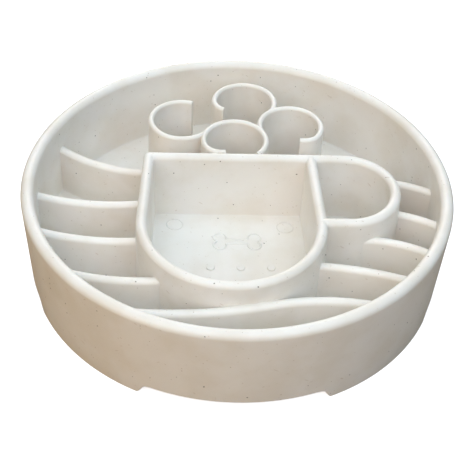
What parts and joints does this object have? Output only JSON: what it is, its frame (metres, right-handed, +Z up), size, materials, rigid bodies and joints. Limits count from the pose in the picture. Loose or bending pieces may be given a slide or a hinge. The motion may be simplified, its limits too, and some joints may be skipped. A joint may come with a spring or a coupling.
{
  "type": "slow feeder bowl",
  "caption": "Round slow feeder bowl: mug-shaped compartment with handle, curving ridges to the outer wall and open curls behind, to make a pet eat slowly",
  "frame": {"origin": "on the resting plane, at the middle of the round bowl", "axes": "+Z up; +Y towards the curls at the back; the mug's handle points to +X"},
  "size_m": [0.215, 0.215, 0.0533],
  "materials": {
    "speckled_plastic": "satin matte, cream with fine dark specks"
  },
  "bodies": {
    "root": {"outer_wall": "speckled_plastic", "feet": "speckled_plastic", "bowl_floor": "speckled_plastic", "mug_wall": "speckled_plastic", "mug_round_end": "speckled_plastic", "mug_handle": "speckled_plastic", "left_ridge_1": "speckled_plastic", "left_ridge_2": "speckled_plastic", "left_ridge_3": "speckled_plastic", "left_ridge_4": "speckled_plastic", "right_ridge_1": "speckled_plastic", "right_ridge_2": "speckled_plastic", "right_ridge_3": "speckled_plastic", "right_ridge_4": "speckled_plastic", "front_wave": "speckled_plastic", "curl_centre": "speckled_plastic", "curl_left": "speckled_plastic", "curl_right": "speckled_plastic", "curl_top": "speckled_plastic", "floor_nubs": "speckled_plastic"}
  },
  "joints": []
}
